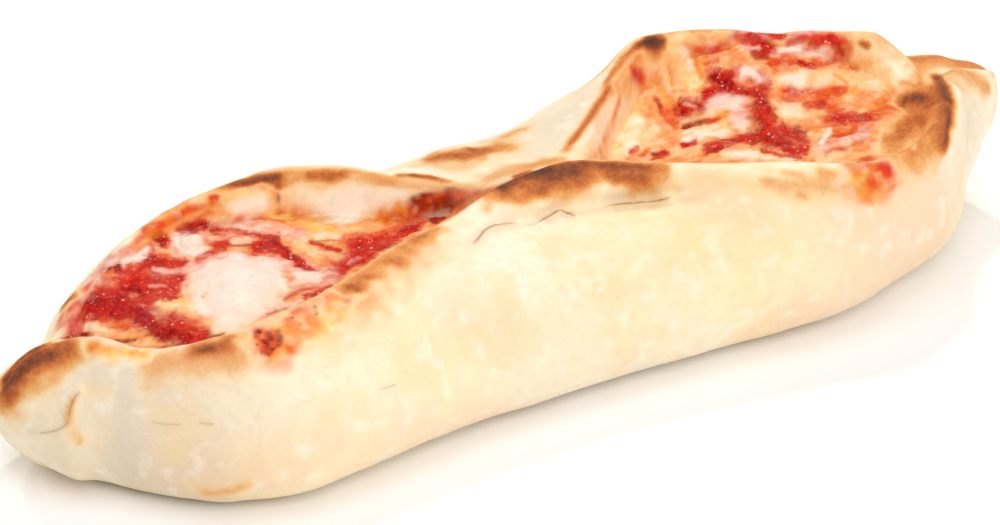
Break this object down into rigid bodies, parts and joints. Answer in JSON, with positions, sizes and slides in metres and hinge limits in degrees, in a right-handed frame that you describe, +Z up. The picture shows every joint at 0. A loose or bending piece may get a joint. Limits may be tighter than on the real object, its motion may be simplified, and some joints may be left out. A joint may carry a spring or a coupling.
{
  "type": "boat-shaped pizza",
  "caption": "Boat-shaped filled pizza: a folded pale dough loaf pinched shut at both tips and across the middle, with tomato and melted cheese in the open pocket on each side.",
  "frame": {"origin": "middle of the box's underside, where the loaf rests", "axes": "+X along the boat towards the end with the raised far rim, +Z up, -Y the side of the folded-over near flap"},
  "size_m": [0.282, 0.0954, 0.0499],
  "materials": {
    "crust": "matt baked dough, browned and oil-stained along the rims",
    "sauce": "wet tomato sauce marbled with melted cheese",
    "cheese": "soft melted mozzarella, satin",
    "tomato": "wet tomato pulp"
  },
  "bodies": {
    "root": {"crust": "crust", "filling_left": "sauce", "filling_right": "sauce", "mozzarella_left": "cheese", "mozzarella_left_small": "cheese", "mozzarella_right": "cheese", "tomato_left": "tomato", "tomato_right": "tomato", "tomato_right_small": "tomato"}
  },
  "joints": []
}
